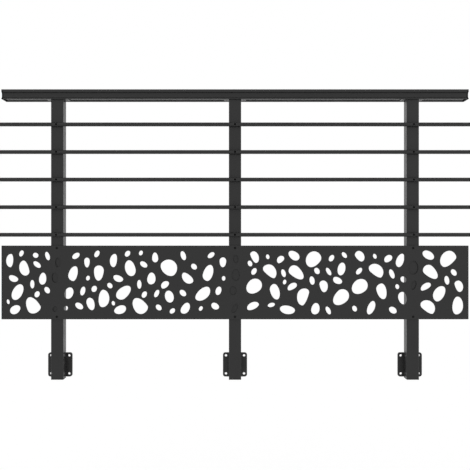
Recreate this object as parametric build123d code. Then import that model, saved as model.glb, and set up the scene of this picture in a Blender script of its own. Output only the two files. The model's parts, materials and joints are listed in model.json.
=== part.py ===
"""Side-fixed aluminium railing with five round bars and a pebble-cut panel.

Millimetres. X runs along the railing, Y towards the wall it is bolted to and Z up.
The origin is the middle of the back face of the middle foot plate.
"""
import math
import os

from build123d import *

# Overall; the length is without the caps on the bars
RAILING_LENGTH = 1900
RAILING_HEIGHT = 1183
POST_OVERHANG = 225

# Foot plates, bolted flat to the wall behind the posts
PLATE_SIZE = 100
PLATE_THICKNESS = 8
PLATE_CORNER = 10
BOLT_SPACING = 75
BOLT_HOLE = 10

# Posts
POST_SIZE = 50
POST_WALL = 3
POST_CORNER = 2
POST_BELOW_PLATE = 3
FOOT_CAP_THICKNESS = 3
FOOT_CAP_PLUG = 14

# Handrail
HANDRAIL_DEPTH = 65
HANDRAIL_HEIGHT = 40
HANDRAIL_TOP_RADIUS = 4
HANDRAIL_WALL = 3
GROOVE_DEPTH = 7.5
GROOVE_HEIGHT = 24.5
LOWER_LIP = 3.5
CHANNEL_DEPTH = 5
HANDRAIL_CAP_THICKNESS = 6
HANDRAIL_CAP_PLUG = 15
HANDRAIL_CAP_CLEARANCE = 0.2

# Head plates between the posts and the handrail
HEAD_PLATE_LENGTH = 90
HEAD_PLATE_DEPTH = 44
HEAD_PLATE_THICKNESS = 4
HEAD_PLATE_CORNER = 4

# Round bars on the front of the posts
BAR_COUNT = 5
BAR_DIAMETER = 16
BAR_WALL = 1.5
BAR_PITCH = 112
BAR_ABOVE_PANEL = 44
BAR_CAP_THICKNESS = 5
BAR_CAP_ROUND = 1.5
BAR_CAP_PLUG = 10
BAR_HEAD_HOLE = 8
BAR_SCREW_HOLE = 5.5
SADDLE_DIAMETER = 13
SADDLE_GAP = 1.5

# Panel under the bars
PANEL_HEIGHT = 300
PANEL_THICKNESS = 3
PANEL_ABOVE_FOOT = 247
PANEL_CORNER = 2
PANEL_BORDER = 14
PANEL_SCREW_INSET = 10
PANEL_SCREW_HOLE = 6
WASHER_DIAMETER = 14
WASHER_HOLE = 6
WASHER_THICKNESS = 2

# The pebbles are drawn on a sheet of this length and height, in its own units, and the drawing is
# fitted to the panel. x is from the sheet's middle, z from its lower edge. The cut runs a little
# inside the drawn line, by PEBBLE_INSET.
# Each pebble runs from a blunt tip to a narrow tip: blunt x, blunt z, narrow x, narrow z, width.
# Then come where its left side is widest, as a share of its length from the blunt tip, how much of
# its width lies to the left of the line between the tips, and where its right side is widest.
PEBBLE_SHEET = (1905, 300.7)
PEBBLE_INSET = 0.6
LEFT_END_PEBBLES = [
    (-917, 212, -913, 267, 30.5, 0.5, 0.64),
    (-866, 281, -877, 256, 18.5, 0.45),
    (-825, 265, -802, 257, 21.5),
    (-770.5, 275.5, -759.5, 240.5, 19),
    (-852.5, 178, -863.5, 240, 40.5, 0.48, 0.57, 0.27),
    (-822, 234.5, -793, 212, 21),
    (-922, 176, -884, 161, 26, 0.5, 0.38),
    (-827, 125.5, -827, 161, 18.5),
    (-787.5, 141, -781.5, 190.5, 31, 0.42),
    (-904, 80, -870, 142, 42, 0.47),
    (-814, 90, -801, 114, 21.5),
    (-774.5, 131.5, -758.5, 106.5, 22),
    (-928, 81.5, -923, 61.5, 13),
    (-916.5, 27, -877, 52, 34, 0.45),
    (-808.5, 27.5, -842.5, 89, 55, 0.31, 0.52, 0.22),
]
LEFT_POST_PEBBLES = [
    (-722, 211, -723, 252, 23),
    (-732, 148, -737, 191, 27),
    (-738, 30, -731, 54, 20),
]
LEFT_BAY_PEBBLES = [
    (-663.5, 249, -634.5, 268.5, 22),
    (-604, 252, -604, 211, 24, 0.35),
    (-571, 253.5, -555.5, 280, 20),
    (-496, 212, -489, 267, 30, 0.5, 0.62),
    (-662, 155.5, -649.5, 216.5, 37.5, 0.35, 0.63, 0.5),
    (-603, 158, -597, 178, 16.5),
    (-554, 220, -558, 157, 41, 0.32),
    (-496, 176, -456, 161, 27, 0.5, 0.4),
    (-687, 84, -668, 129.5, 36),
    (-626, 97, -616, 133.5, 21),
    (-581, 112, -568, 136, 22.5),
    (-519, 147, -502, 128, 20.5),
    (-543, 49, -537, 121, 45, 0.48, 0.38),
    (-596, 88, -581.5, 37, 33, 0.4),
    (-651, 64.5, -620.5, 44, 24.5),
    (-696, 37, -684, 53, 17),
    (-499, 75, -494, 56, 14.5),
    (-482, 87, -427.5, 133, 44, 0.42, 0.48, 0.36),
    (-445, 49, -493, 31, 34.5, 0.45, 0.54),
    (-447, 256.5, -430, 278.5, 20.5),
    (-389, 261, -379, 280, 16.5),
    (-325, 232, -327, 273, 26, 0.36),
    (-420, 176, -434, 241, 43, 0.5, 0.52, 0.4),
    (-386.5, 233.5, -358.5, 214, 22),
    (-298.5, 232, -246.5, 182, 63, 0.5, 0.6),
    (-345, 142, -339.5, 191, 35, 0.42, 0.46),
    (-390, 124, -391, 161, 19),
    (-299, 127, -270, 151.5, 26, 0.5, 0.6),
    (-327, 90, -312, 120, 18.5),
    (-377, 88, -363, 113.5, 20.5),
    (-274, 117, -262, 68, 36.5),
    (-369.5, 25.5, -410, 84.5, 54.5, 0.4, 0.49, 0.25),
    (-321, 58.5, -301.5, 38, 21.5),
    (-265, 25, -246, 43, 19),
    (-217, 278, -205, 241, 21.5),
    (-177, 224.5, -157.5, 205, 22),
    (-172, 151, -212.5, 189, 34.5, 0.45, 0.63, 0.4),
    (-115.5, 156, -98.5, 222, 40.5, 0.34, 0.56, 0.5),
    (-110.5, 251.5, -84.5, 271.5, 20),
    (-49, 253, -50, 212, 28, 0.36),
    (-47, 157, -46, 177, 15.5),
    (-224, 118, -201, 96, 22.5),
    (-106, 130, -159.5, 81, 43.5, 0.46, 0.58, 0.5),
    (-73, 99, -62, 133.5, 24),
    (-218, 25, -190, 67, 33, 0.45, 0.42),
    (-145, 35, -134, 53, 15.5),
    (-95, 64, -66, 45, 26.5, 0.5, 0.45),
]
MIDDLE_POST_PEBBLES = [
    (4, 228, 2, 264, 23),
    (3, 156, 3, 206, 34, 0.45),
    (-9, 98, -7, 136, 30),
    (-10, 26, 8, 64, 23),
]
RIGHT_BAY_PEBBLES = [
    (72, 277, 88, 229.5, 31.5, 0.48, 0.55, 0.2),
    (56.5, 239, 66, 216, 19),
    (70, 182, 85, 208.5, 20.5),
    (131, 265, 136, 245, 15),
    (175.5, 229.5, 197.5, 256.5, 25.5, 0.5, 0.58, 0.7),
    (261, 245, 220, 275, 34, 0.43),
    (117.5, 216, 162, 168.5, 43, 0.42, 0.68, 0.25),
    (193, 204, 203, 172, 18.5),
    (200, 142, 205, 162, 15),
    (225, 214, 277.5, 165.5, 44, 0.33, 0.5, 0.25),
    (104, 157, 51.5, 111.5, 56.5, 0.42, 0.49, 0.45),
    (157.5, 144.5, 172.5, 80.5, 38.5, 0.5, 0.45, 0.36),
    (216, 119.5, 251.5, 145, 25.5, 0.5, 0.58, 0.68),
    (50, 41, 97.5, 63.5, 29.5, 0.5, 0.6),
    (133.5, 54.5, 163, 62.5, 18),
    (183, 46, 245, 35, 35.5, 0.48, 0.44),
    (290, 125.5, 273, 56, 46, 0.2, 0.36, 0.42),
    (338.5, 273, 300.5, 215, 58, 0.32, 0.48, 0.47),
    (327, 209.5, 342, 185, 21.5),
    (373, 210, 391, 179.5, 17.5),
    (386, 236.5, 401.5, 262, 20.5),
    (437, 273, 455.5, 251, 17.5),
    (429, 179, 440, 231.5, 32.5),
    (311, 175.5, 318, 140.5, 21.5),
    (357, 158.5, 364.5, 110, 34, 0.42, 0.55, 0.3),
    (401.5, 169.5, 437, 150, 27, 0.5, 0.42, 0.42),
    (458.5, 115, 404.5, 63.5, 55.5, 0.4, 0.51, 0.36),
    (322.5, 20, 332.5, 67, 35, 0.42, 0.47),
    (372.5, 52, 388.5, 20, 18.5),
    (482, 55, 494, 32, 19.5),
    (498, 277.5, 521, 236.5, 35, 0.5, 0.52, 0.27),
    (566, 267, 575, 247, 15.5),
    (611, 234.5, 640, 258.5, 27, 0.5, 0.55, 0.6),
    (665.5, 213, 685, 267.5, 32, 0.42, 0.55),
    (495.5, 184, 517, 209, 20),
    (549, 218.5, 598, 171.5, 46, 0.52, 0.66, 0.27),
    (632.5, 204, 647.5, 166, 20.5),
    (678, 173, 696, 152, 23),
    (536, 155.5, 481, 111, 57, 0.42, 0.5, 0.46),
    (596, 146.5, 608, 82, 41, 0.45, 0.41, 0.32),
    (659, 143.5, 665, 123, 16.5),
    (679, 112, 690.5, 61, 35, 0.42, 0.46),
    (544, 20, 565, 75, 30, 0.45, 0.46, 0.55),
    (629.5, 47.5, 658.5, 27, 25.5),
]
RIGHT_POST_PEBBLES = [
    (726, 182, 728, 240, 42, 0.45),
    (722, 120, 735, 158, 22),
]
RIGHT_END_PEBBLES = [
    (766, 275, 811.5, 248.5, 33),
    (890, 275, 846.5, 215.5, 56, 0.22, 0.47, 0.48),
    (772.5, 215.5, 824.5, 167.5, 44.5, 0.33, 0.52, 0.25),
    (883, 203, 902.5, 179, 21.5),
    (759, 118.5, 798.5, 145.5, 25.5, 0.5, 0.58, 0.68),
    (861, 177.5, 868, 141, 21),
    (907.5, 158, 918.5, 111, 34, 0.5, 0.54, 0.25),
    (820, 73.5, 852, 133.5, 45.5, 0.45, 0.58, 0.5),
    (760, 70, 809, 23.5, 46, 0.52, 0.66, 0.27),
    (902, 19.5, 908, 93, 45, 0.45, 0.41),
]
PEBBLES = (
    LEFT_END_PEBBLES
    + LEFT_POST_PEBBLES
    + LEFT_BAY_PEBBLES
    + MIDDLE_POST_PEBBLES
    + RIGHT_BAY_PEBBLES
    + RIGHT_POST_PEBBLES
    + RIGHT_END_PEBBLES
)

# Levels and depths that follow from the sizes above
POST_SPACING = RAILING_LENGTH / 2 - POST_OVERHANG
POSTS = {"left": -POST_SPACING, "middle": 0, "right": POST_SPACING}
FOOT_Z = -PLATE_SIZE / 2 - POST_BELOW_PLATE
TOP_Z = FOOT_Z + RAILING_HEIGHT
HANDRAIL_Z = TOP_Z - HANDRAIL_HEIGHT
POST_TOP_Z = HANDRAIL_Z + CHANNEL_DEPTH - HEAD_PLATE_THICKNESS
PANEL_Z = FOOT_Z + PANEL_ABOVE_FOOT
FIRST_BAR_Z = PANEL_Z + PANEL_HEIGHT + BAR_ABOVE_PANEL
POST_BACK_Y = -PLATE_THICKNESS
POST_AXIS_Y = POST_BACK_Y - POST_SIZE / 2
POST_FRONT_Y = POST_BACK_Y - POST_SIZE
BAR_AXIS_Y = POST_FRONT_Y - SADDLE_GAP - BAR_DIAMETER / 2
PANEL_BACK_Y = POST_FRONT_Y - WASHER_THICKNESS


def facing_front(x, y, z):
    """Place a drawing upright: its X along the railing, its Y up, its thickness to the front."""
    return Pos(x, y, z) * Rot(90, 0, 0)


def along_railing(x, y, z):
    """Place a cross-section: its X to the wall, its Y up, its length along the railing."""
    return Pos(x, y, z) * Plane.YZ.location


def foot_plate(x):
    """Square plate with rounded corners and four bolt holes."""
    plate = RectangleRounded(PLATE_SIZE, PLATE_SIZE, PLATE_CORNER)
    holes = GridLocations(BOLT_SPACING, BOLT_SPACING, 2, 2) * Circle(BOLT_HOLE / 2)
    return facing_front(x, 0, 0) * extrude(plate - holes, PLATE_THICKNESS)


def post(x):
    """Square tube from the foot cap up to the head plate."""
    bore = POST_SIZE - 2 * POST_WALL
    bottom = FOOT_Z + FOOT_CAP_THICKNESS
    tube = RectangleRounded(POST_SIZE, POST_SIZE, POST_CORNER) - Rectangle(bore, bore)
    return Pos(x, POST_AXIS_Y, bottom) * extrude(tube, POST_TOP_Z - bottom)


def foot_cap(x):
    """Plate that closes a post from below, with a plug inside the tube."""
    bore = POST_SIZE - 2 * POST_WALL
    plate = extrude(RectangleRounded(POST_SIZE, POST_SIZE, POST_CORNER), FOOT_CAP_THICKNESS)
    ring = Rectangle(bore, bore) - Rectangle(bore - 2 * POST_WALL, bore - 2 * POST_WALL)
    plug = Pos(0, 0, FOOT_CAP_THICKNESS) * extrude(ring, FOOT_CAP_PLUG)
    return Pos(x, POST_AXIS_Y, FOOT_Z) * (plate + plug)


def head_plate(x):
    """Flat plate on a post, let into the channel under the handrail."""
    plate = RectangleRounded(HEAD_PLATE_LENGTH, HEAD_PLATE_DEPTH, HEAD_PLATE_CORNER)
    return Pos(x, POST_AXIS_Y, POST_TOP_Z) * extrude(plate, HEAD_PLATE_THICKNESS)


def finger_grooves(wall=0):
    """Rounded grooves along both sides of the handrail, grown by a wall where they are backed."""
    slot = SlotOverall(GROOVE_HEIGHT + 2 * wall, 2 * (GROOVE_DEPTH + wall), rotation=90)
    middle = LOWER_LIP + GROOVE_HEIGHT / 2
    return Pos(-HANDRAIL_DEPTH / 2, middle) * slot + Pos(HANDRAIL_DEPTH / 2, middle) * slot


def handrail_outline():
    """Handrail section: rounded top edges and a finger groove along each side."""
    block = Pos(0, HANDRAIL_HEIGHT / 2) * Rectangle(HANDRAIL_DEPTH, HANDRAIL_HEIGHT)
    block = fillet(block.vertices().group_by(Axis.Y)[-1], HANDRAIL_TOP_RADIUS)
    return block - finger_grooves()


def handrail_bore(clearance=0):
    """Hollow of the handrail section: a T, wide above the finger grooves."""
    waist = HANDRAIL_DEPTH - 2 * (GROOVE_DEPTH + HANDRAIL_WALL)
    head = HANDRAIL_DEPTH - 2 * HANDRAIL_WALL
    floor = CHANNEL_DEPTH + HANDRAIL_WALL
    ceiling = HANDRAIL_HEIGHT - HANDRAIL_WALL
    shelf = LOWER_LIP + GROOVE_HEIGHT + HANDRAIL_WALL
    stem = Pos(0, (floor + ceiling) / 2) * Rectangle(waist, ceiling - floor)
    arms = Pos(0, (shelf + ceiling) / 2) * Rectangle(head, ceiling - shelf)
    bore = stem + arms
    if clearance:
        bore = offset(bore, -clearance, kind=Kind.INTERSECTION)
    return bore


def handrail():
    """Hollow extrusion, open underneath between two thin lips, where the head plates lie."""
    mouth = HANDRAIL_DEPTH - 2 * HANDRAIL_WALL
    channel = Pos(0, CHANNEL_DEPTH / 2) * Rectangle(mouth, CHANNEL_DEPTH)
    channel -= finger_grooves(HANDRAIL_WALL)
    section = handrail_outline() - channel - handrail_bore()
    length = RAILING_LENGTH - 2 * HANDRAIL_CAP_THICKNESS
    return along_railing(-length / 2, POST_AXIS_Y, HANDRAIL_Z) * extrude(section, length)


def handrail_cap(side):
    """Closing plate at a handrail end, with a plug inside the hollow."""
    plate = extrude(handrail_outline(), HANDRAIL_CAP_THICKNESS)
    plug_outline = handrail_bore(HANDRAIL_CAP_CLEARANCE)
    plug = Pos(0, 0, -HANDRAIL_CAP_PLUG) * extrude(plug_outline, HANDRAIL_CAP_PLUG)
    inner_face = side * (RAILING_LENGTH / 2 - HANDRAIL_CAP_THICKNESS)
    cap = plate + plug
    if side < 0:
        cap = mirror(cap, about=Plane.XY)
    return along_railing(inner_face, POST_AXIS_Y, HANDRAIL_Z) * cap


def bar_z(number):
    """Height of a bar's axis, counted upwards from the panel."""
    return FIRST_BAR_Z + (number - 1) * BAR_PITCH


def bar(number):
    """Round tube along the front of the posts, bored at each post for a screw.

    The hole in front lets the screw's head in; the one behind takes only its shank.
    """
    z = bar_z(number)
    ring = Circle(BAR_DIAMETER / 2) - Circle(BAR_DIAMETER / 2 - BAR_WALL)
    tube = along_railing(-RAILING_LENGTH / 2, BAR_AXIS_Y, z) * extrude(ring, RAILING_LENGTH)
    head_hole = extrude(Circle(BAR_HEAD_HOLE / 2), BAR_DIAMETER)
    shank_hole = extrude(Circle(BAR_SCREW_HOLE / 2), -BAR_DIAMETER)
    for x in POSTS.values():
        tube -= facing_front(x, BAR_AXIS_Y, z) * head_hole
        tube -= facing_front(x, BAR_AXIS_Y, z) * shank_hole
    return tube


def bar_caps(number):
    """Rounded caps on both ends of a bar, each with a plug inside the tube."""
    disc = extrude(Circle(BAR_DIAMETER / 2), BAR_CAP_THICKNESS)
    disc = fillet(disc.edges().group_by(Axis.Z)[-1], BAR_CAP_ROUND)
    plug = Pos(0, 0, -BAR_CAP_PLUG) * extrude(Circle(BAR_DIAMETER / 2 - BAR_WALL), BAR_CAP_PLUG)
    right = along_railing(RAILING_LENGTH / 2, BAR_AXIS_Y, bar_z(number)) * (disc + plug)
    left = mirror(right, about=Plane.YZ)
    return Compound([left, right])


def saddle(x, z):
    """Round standoff on a post, bored for a screw and hollowed to the curve of its bar."""
    ring = Circle(SADDLE_DIAMETER / 2) - Circle(BAR_SCREW_HOLE / 2)
    stud = extrude(ring, POST_FRONT_Y - BAR_AXIS_Y)
    standoff = facing_front(x, POST_FRONT_Y, z) * stud
    seat = along_railing(x, BAR_AXIS_Y, z) * extrude(Circle(BAR_DIAMETER / 2), SADDLE_DIAMETER, both=True)
    return standoff - seat


def post_saddles(x):
    """One standoff behind every bar on a post."""
    return Compound([saddle(x, bar_z(number)) for number in range(1, BAR_COUNT + 1)])


def panel_screw_levels():
    """Heights of the lower and upper screws above the panel's lower edge."""
    return PANEL_SCREW_INSET, PANEL_HEIGHT - PANEL_SCREW_INSET


def panel_washers(x):
    """Rubber washers between a post and the panel, at its lower and upper screws."""
    ring = extrude(Circle(WASHER_DIAMETER / 2) - Circle(WASHER_HOLE / 2), WASHER_THICKNESS)
    return Compound([facing_front(x, POST_FRONT_Y, PANEL_Z + z) * ring for z in panel_screw_levels()])


def pebble(
    blunt_x, blunt_z, narrow_x, narrow_z, width, left_widest=0.5, left_share=0.5, right_widest=None
):
    """Closed egg-like outline of four quarter ellipses, smooth at both tips and on both sides."""
    sheet_length, sheet_height = PEBBLE_SHEET
    scale_x = RAILING_LENGTH / sheet_length
    scale_z = PANEL_HEIGHT / sheet_height
    run_x = (narrow_x - blunt_x) * scale_x
    run_z = (narrow_z - blunt_z) * scale_z
    length = math.hypot(run_x, run_z) - 2 * PEBBLE_INSET
    full_width = width * math.sqrt(scale_x * scale_z)
    left = full_width * left_share - PEBBLE_INSET
    right = full_width * (1 - left_share) - PEBBLE_INSET
    left_at = length * left_widest
    right_at = left_at if right_widest is None else length * right_widest
    quarters = [
        EllipticalCenterArc((left_at, 0), length - left_at, left, 0),
        EllipticalCenterArc((left_at, 0), left_at, left, 90),
        EllipticalCenterArc((right_at, 0), right_at, right, 180),
        EllipticalCenterArc((right_at, 0), length - right_at, right, 270),
    ]
    blunt_tip = Pos(blunt_x * scale_x, blunt_z * scale_z)
    turn = Rot(0, 0, math.degrees(math.atan2(run_z, run_x)))
    return blunt_tip * turn * Pos(PEBBLE_INSET, 0) * Wire(quarters)


def clears_border(outline):
    """True where a pebble leaves the panel's border whole."""
    box = outline.bounding_box()
    reach = RAILING_LENGTH / 2 - PANEL_BORDER
    inside_length = box.min.X > -reach and box.max.X < reach
    inside_height = box.min.Y > PANEL_BORDER and box.max.Y < PANEL_HEIGHT - PANEL_BORDER
    return inside_length and inside_height


def pebble_panel():
    """One sheet across the three posts with the pebbles cut through it."""
    sheet = Pos(0, PANEL_HEIGHT / 2) * RectangleRounded(RAILING_LENGTH, PANEL_HEIGHT, PANEL_CORNER)
    outlines = [pebble(*numbers) for numbers in PEBBLES]
    cuts = [outline for outline in outlines if clears_border(outline)]
    for x in POSTS.values():
        cuts += [Wire.make_circle(PANEL_SCREW_HOLE / 2, Plane((x, z, 0))) for z in panel_screw_levels()]
    face = Face(sheet.face().outer_wire(), cuts)
    return facing_front(0, PANEL_BACK_Y, PANEL_Z) * extrude(face, PANEL_THICKNESS)


def build():
    """All pieces of the railing by name."""
    pieces = {"handrail": handrail()}
    pieces["handrail_cap_left"] = handrail_cap(-1)
    pieces["handrail_cap_right"] = handrail_cap(1)
    pieces["pebble_panel"] = pebble_panel()
    for name, x in POSTS.items():
        pieces[f"post_{name}"] = post(x)
        pieces[f"post_cap_{name}"] = foot_cap(x)
        pieces[f"foot_plate_{name}"] = foot_plate(x)
        pieces[f"head_plate_{name}"] = head_plate(x)
        pieces[f"bar_saddles_{name}"] = post_saddles(x)
        pieces[f"panel_washers_{name}"] = panel_washers(x)
    for number in range(1, BAR_COUNT + 1):
        pieces[f"bar_{number}"] = bar(number)
        pieces[f"bar_{number}_caps"] = bar_caps(number)
    return pieces


os.makedirs("parts", exist_ok=True)
for node, shape in build().items():
    export_step(shape, f"parts/{node}.step")
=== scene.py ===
"""Looks of the side-fixed railing: coated metal, moulded caps, screws and studio light.

Metres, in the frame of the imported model: X along the railing, Y towards the wall, Z up.
"""

import json
import math

import bmesh
import bpy
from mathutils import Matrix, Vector


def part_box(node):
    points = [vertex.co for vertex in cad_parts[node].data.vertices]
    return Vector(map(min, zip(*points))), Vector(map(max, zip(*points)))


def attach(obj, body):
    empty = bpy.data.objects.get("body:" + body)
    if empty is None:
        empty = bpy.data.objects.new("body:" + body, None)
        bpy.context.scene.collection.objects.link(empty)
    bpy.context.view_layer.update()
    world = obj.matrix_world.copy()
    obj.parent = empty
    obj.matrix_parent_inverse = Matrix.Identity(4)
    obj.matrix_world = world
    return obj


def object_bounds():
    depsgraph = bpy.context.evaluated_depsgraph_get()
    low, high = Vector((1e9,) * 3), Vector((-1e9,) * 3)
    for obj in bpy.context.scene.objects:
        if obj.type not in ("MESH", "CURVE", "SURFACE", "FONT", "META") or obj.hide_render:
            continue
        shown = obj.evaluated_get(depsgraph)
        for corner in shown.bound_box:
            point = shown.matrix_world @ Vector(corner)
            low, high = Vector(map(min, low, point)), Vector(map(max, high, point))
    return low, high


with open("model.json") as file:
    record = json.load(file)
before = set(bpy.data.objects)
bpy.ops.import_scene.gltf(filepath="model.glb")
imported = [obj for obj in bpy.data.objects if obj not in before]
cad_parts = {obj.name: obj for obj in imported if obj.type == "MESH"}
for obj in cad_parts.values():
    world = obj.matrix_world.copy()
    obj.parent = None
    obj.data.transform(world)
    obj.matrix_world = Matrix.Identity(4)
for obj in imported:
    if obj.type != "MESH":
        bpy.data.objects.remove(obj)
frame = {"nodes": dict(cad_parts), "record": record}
cad_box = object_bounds()

MM = 0.001
POSTS = ("left", "middle", "right")
BARS = range(1, 6)

# Camera, level and square to the railing
CAMERA_PLACE = (0, -2.899, 0.537)
CAMERA_LENS = 53.4
CAMERA_SENSOR = 36

# Studio
FLOOR_BELOW_FOOT = 1.0
FLOOR_SIZE = 60
FLOOR_GREY = 0.92
FLOOR_ROUGHNESS = 0.9
SURROUND_WHITE = 1.0
AMBIENT_STRENGTH = 0.7
LAMP_TARGET = (0, 0, 0.5)
KEY_PLACE = (-1.6, -3.2, 3.2)
KEY_SIZE = 2.5
KEY_POWER = 6.5
FILL_PLACE = (2.2, -3.0, 1.4)
FILL_SIZE = 2.0
FILL_POWER = 3

# Noise in the finishes: the part of its range that is used, and its fineness
NOISE_LOW = 0.3
NOISE_HIGH = 0.7
GRAIN_DETAIL = 3
MOTTLE_SCALE = 35
MOTTLE_DETAIL = 4
GLOSS_SPREAD = 0.04

# Edges rounded by the coat
COAT_ROUND = 0.5 * MM
SHEET_ROUND = 0.35 * MM
ROUND_SEGMENTS = 2
EDGE_ANGLE = math.radians(32)
FLAT_ANGLE = math.radians(1)
WELD_DISTANCE = 0.01 * MM

# Screws: radius, height and socket of their heads
PANEL_SCREW = (4.75 * MM, 2.6 * MM, 3.0 * MM)
BAR_SCREW = (3.7 * MM, 2.2 * MM, 2.5 * MM)
HEAD_PLATE_SCREW = (4.0 * MM, 0.8 * MM, 2.5 * MM)
HEAD_PLATE_SCREW_INSET = 9 * MM
BAR_WALL = 1.5 * MM

# Form of a screw head: its upright side, chamfer and socket floor are shares of its height, the
# widths of its socket's mouth and floor are shares of the socket, and its dome has a ring at each angle
SCREW_SEGMENTS = 48
HEAD_UPRIGHT = 0.35
HEAD_DOME_ANGLES = (0, 0.35, 0.7, 1.0)
SOCKET_MOUTH = 1.12
SOCKET_CHAMFER = 0.12
SOCKET_FLOOR_WIDTH = 0.97
SOCKET_FLOOR_LEVEL = 0.3


def grey(level):
    """Opaque grey of a given level."""
    return (level, level, level, 1)


def new_material(name):
    """Node material with its shader."""
    material = bpy.data.materials.new(name)
    material.use_nodes = True
    return material, material.node_tree.nodes["Principled BSDF"]


def noise(tree, place, scale, detail):
    """Noise of a given size, as its value socket."""
    texture = tree.nodes.new("ShaderNodeTexNoise")
    texture.inputs["Scale"].default_value = scale
    texture.inputs["Detail"].default_value = detail
    tree.links.new(place, texture.inputs["Vector"])
    return texture.outputs["Fac"]


def between(tree, value, low, high, start=0, end=1):
    """Number that goes from low to high as a value goes from start to end."""
    ramp = tree.nodes.new("ShaderNodeMapRange")
    ramp.inputs["From Min"].default_value = start
    ramp.inputs["From Max"].default_value = end
    ramp.inputs["To Min"].default_value = low
    ramp.inputs["To Max"].default_value = high
    tree.links.new(value, ramp.inputs["Value"])
    return ramp.outputs["Result"]


def tint(tree, value, dark, light):
    """Colour between a dark and a light grey by a noise value."""
    ramp = tree.nodes.new("ShaderNodeValToRGB")
    low, high = ramp.color_ramp.elements
    low.position = NOISE_LOW
    low.color = grey(dark)
    high.position = NOISE_HIGH
    high.color = grey(light)
    tree.links.new(value, ramp.inputs["Fac"])
    return ramp.outputs["Color"]


def grained(name, level, variation, roughness, grain_scale, grain_height, specular):
    """Grey finish with a fine grain in its colour and relief, and with uneven gloss."""
    material, shader = new_material(name)
    tree = material.node_tree
    place = tree.nodes.new("ShaderNodeTexCoord").outputs["Object"]
    grain = noise(tree, place, grain_scale, GRAIN_DETAIL)
    mottle = noise(tree, place, MOTTLE_SCALE, MOTTLE_DETAIL)
    color = tint(tree, grain, level * (1 - variation), level * (1 + variation))
    tree.links.new(color, shader.inputs["Base Color"])
    smooth, rough = roughness - GLOSS_SPREAD, roughness + GLOSS_SPREAD
    gloss = between(tree, mottle, smooth, rough, NOISE_LOW, NOISE_HIGH)
    tree.links.new(gloss, shader.inputs["Roughness"])
    shader.inputs["Specular IOR Level"].default_value = specular
    bump = tree.nodes.new("ShaderNodeBump")
    bump.inputs["Distance"].default_value = grain_height
    tree.links.new(grain, bump.inputs["Height"])
    tree.links.new(bump.outputs["Normal"], shader.inputs["Normal"])
    return material


POWDER_COAT = grained(
    "powder_coat",
    level=0.0232,
    variation=0.2,
    roughness=0.36,
    grain_scale=900,
    grain_height=0.15 * MM,
    specular=0.285,
)
CAP_PLASTIC = grained(
    "cap_plastic",
    level=0.022,
    variation=0.15,
    roughness=0.8,
    grain_scale=1400,
    grain_height=0.08 * MM,
    specular=0.02,
)
WASHER_RUBBER = grained(
    "washer_rubber",
    level=0.012,
    variation=0.15,
    roughness=0.75,
    grain_scale=1100,
    grain_height=0.08 * MM,
    specular=0.2,
)
SCREW_BLACK = grained(
    "screw_black",
    level=0.004,
    variation=0.15,
    roughness=0.5,
    grain_scale=2600,
    grain_height=0.02 * MM,
    specular=0.15,
)
FINISHES = {"powder_coat": POWDER_COAT, "cap_plastic": CAP_PLASTIC, "washer_rubber": WASHER_RUBBER}


def dress(node, material, edge):
    """Finish on a CAD node, with its edges rounded as the coat rounds them."""
    piece = frame["nodes"][node]
    piece.data.materials.clear()
    piece.data.materials.append(material)
    weld = piece.modifiers.new("weld", "WELD")
    weld.merge_threshold = WELD_DISTANCE
    flats = piece.modifiers.new("flats", "DECIMATE")
    flats.decimate_type = "DISSOLVE"
    flats.angle_limit = FLAT_ANGLE
    bevel = piece.modifiers.new("edges", "BEVEL")
    bevel.width = edge
    bevel.segments = ROUND_SEGMENTS
    bevel.limit_method = "ANGLE"
    bevel.angle_limit = EDGE_ANGLE
    bevel.use_clamp_overlap = True
    bevel.face_strength_mode = "FSTR_ALL"
    normals = piece.modifiers.new("normals", "WEIGHTED_NORMAL")
    normals.keep_sharp = True
    normals.use_face_influence = True


def dress_railing():
    """Finish every CAD node by the slot that the record gives it."""
    for part in frame["record"]["subparts"]:
        node = part["node"]
        edge = SHEET_ROUND if node == "pebble_panel" else COAT_ROUND
        dress(node, FINISHES[part["material_slot"]], edge)


def hexagon_radius(angle, across_flats):
    """Distance from a hexagon's middle to its side in a direction."""
    sector = math.radians(60)
    return across_flats / 2 / math.cos((angle % sector) - sector / 2)


def screw_head(name, place, size, facing=(0, -1, 0)):
    """Domed head with a hexagon socket, its flat side on a surface that faces a given way."""
    radius, height, socket = size
    angles = [2 * math.pi * i / SCREW_SEGMENTS for i in range(SCREW_SEGMENTS)]
    rings = [[(radius, 0)] * SCREW_SEGMENTS]
    for angle in HEAD_DOME_ANGLES:
        top = height * (HEAD_UPRIGHT + (1 - HEAD_UPRIGHT) * math.sin(angle))
        rings.append([(radius * math.cos(angle), top)] * SCREW_SEGMENTS)
    socket_rings = (
        (SOCKET_MOUTH, top),
        (1, top - SOCKET_CHAMFER * height),
        (SOCKET_FLOOR_WIDTH, SOCKET_FLOOR_LEVEL * height),
    )
    for share, level in socket_rings:
        rings.append([(share * hexagon_radius(angle, socket), level) for angle in angles])
    mesh = bmesh.new()
    loops = []
    for ring in rings:
        loops.append([
            mesh.verts.new((r * math.cos(angle), r * math.sin(angle), level))
            for angle, (r, level) in zip(angles, ring)
        ])
    for lower, upper in zip(loops, loops[1:]):
        for i in range(SCREW_SEGMENTS):
            j = (i + 1) % SCREW_SEGMENTS
            mesh.faces.new((lower[i], lower[j], upper[j], upper[i]))
    mesh.faces.new(loops[0])
    mesh.faces.new(loops[-1])
    bmesh.ops.recalc_face_normals(mesh, faces=mesh.faces)
    data = bpy.data.meshes.new(name)
    mesh.to_mesh(data)
    mesh.free()
    data.shade_smooth()
    data.set_sharp_from_angle(angle=EDGE_ANGLE)
    data.materials.append(SCREW_BLACK)
    piece = bpy.data.objects.new(name, data)
    piece.location = place
    piece.rotation_euler = Vector(facing).to_track_quat("Z", "Y").to_euler()
    bpy.context.scene.collection.objects.link(piece)
    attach(piece, "root")


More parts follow.
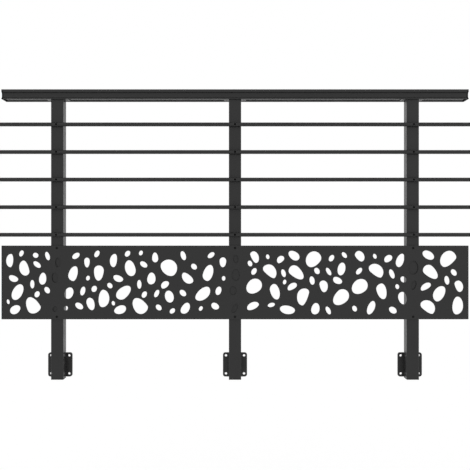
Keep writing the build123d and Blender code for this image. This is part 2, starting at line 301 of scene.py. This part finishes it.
def add_panel_screws():
    """Two screws hold the panel at each post, over the washers behind it."""
    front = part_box("pebble_panel")[0].y
    for post in POSTS:
        low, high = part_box(f"panel_washers_{post}")
        x = (low.x + high.x) / 2
        inset = (high.x - low.x) / 2
        for side, z in (("lower", low.z + inset), ("upper", high.z - inset)):
            screw_head(f"panel_screw_{post}_{side}", (x, front, z), PANEL_SCREW)


def post_axis(post):
    """Place of a post along the railing."""
    low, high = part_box(f"post_{post}")
    return (low.x + high.x) / 2


def add_bar_screws():
    """A screw inside each bar at each post, on the bar's back wall behind the hole in its front."""
    for number in BARS:
        low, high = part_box(f"bar_{number}")
        seat = high.y - BAR_WALL
        for post in POSTS:
            place = (post_axis(post), seat, (low.z + high.z) / 2)
            screw_head(f"bar_{number}_screw_{post}", place, BAR_SCREW)


def add_head_plate_screws():
    """Two flat screws in each head plate, one on each side of the post, seen from below."""
    for post in POSTS:
        low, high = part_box(f"head_plate_{post}")
        middle = (low.y + high.y) / 2
        places = {"left": low.x + HEAD_PLATE_SCREW_INSET, "right": high.x - HEAD_PLATE_SCREW_INSET}
        for side, x in places.items():
            name = f"head_plate_screw_{post}_{side}"
            screw_head(name, (x, middle, low.z), HEAD_PLATE_SCREW, facing=(0, 0, -1))


def seen_rays(tree):
    """1 for the rays of the camera and of reflections, 0 for the rays that light things."""
    path = tree.nodes.new("ShaderNodeLightPath")
    seen = path.outputs["Is Camera Ray"]
    for ray in ("Is Glossy Ray", "Is Transmission Ray"):
        either = tree.nodes.new("ShaderNodeMath")
        either.operation = "MAXIMUM"
        tree.links.new(seen, either.inputs[0])
        tree.links.new(path.outputs[ray], either.inputs[1])
        seen = either.outputs["Value"]
    return seen


def add_floor():
    """Pale floor well below the railing, which hangs on its plates; it shows white but for shadow."""
    level = cad_box[0][2] - FLOOR_BELOW_FOOT
    half = FLOOR_SIZE / 2
    corners = [(-half, -half, level), (half, -half, level), (half, half, level), (-half, half, level)]
    data = bpy.data.meshes.new("floor")
    data.from_pydata(corners, [], [(0, 1, 2, 3)])
    material, shader = new_material("floor")
    tree = material.node_tree
    shader.inputs["Base Color"].default_value = grey(FLOOR_GREY)
    shader.inputs["Roughness"].default_value = FLOOR_ROUGHNESS
    shader.inputs["Specular IOR Level"].default_value = 0
    shader.inputs["Emission Color"].default_value = grey(1)
    glow = between(tree, seen_rays(tree), 0, SURROUND_WHITE - FLOOR_GREY * AMBIENT_STRENGTH)
    tree.links.new(glow, shader.inputs["Emission Strength"])
    data.materials.append(material)
    floor = bpy.data.objects.new("floor", data)
    bpy.context.scene.collection.objects.link(floor)


def add_world():
    """White surroundings, which light the railing more softly than they show."""
    world = bpy.data.worlds.new("studio")
    bpy.context.scene.world = world
    world.use_nodes = True
    tree = world.node_tree
    background = tree.nodes["Background"]
    background.inputs["Color"].default_value = grey(1)
    strength = between(tree, seen_rays(tree), AMBIENT_STRENGTH, SURROUND_WHITE)
    tree.links.new(strength, background.inputs["Strength"])


def add_lamp(name, place, size, power):
    """Large soft square lamp that points at the middle of the railing."""
    light = bpy.data.lights.new(name, "AREA")
    light.shape = "SQUARE"
    light.size = size
    light.energy = power
    lamp = bpy.data.objects.new(name, light)
    lamp.location = place
    direction = Vector(LAMP_TARGET) - Vector(place)
    lamp.rotation_euler = direction.to_track_quat("-Z", "Y").to_euler()
    bpy.context.scene.collection.objects.link(lamp)


def add_camera():
    """Level camera in front of the railing's middle."""
    data = bpy.data.cameras.new("camera")
    data.lens = CAMERA_LENS
    data.sensor_width = CAMERA_SENSOR
    camera = bpy.data.objects.new("camera", data)
    camera.location = CAMERA_PLACE
    camera.rotation_euler = (math.radians(90), 0, 0)
    bpy.context.scene.collection.objects.link(camera)
    bpy.context.scene.camera = camera


dress_railing()
add_panel_screws()
add_bar_screws()
add_head_plate_screws()
add_floor()
add_world()
add_lamp("key", KEY_PLACE, KEY_SIZE, KEY_POWER)
add_lamp("fill", FILL_PLACE, FILL_SIZE, FILL_POWER)
add_camera()
bpy.context.scene.view_settings.view_transform = "Standard"
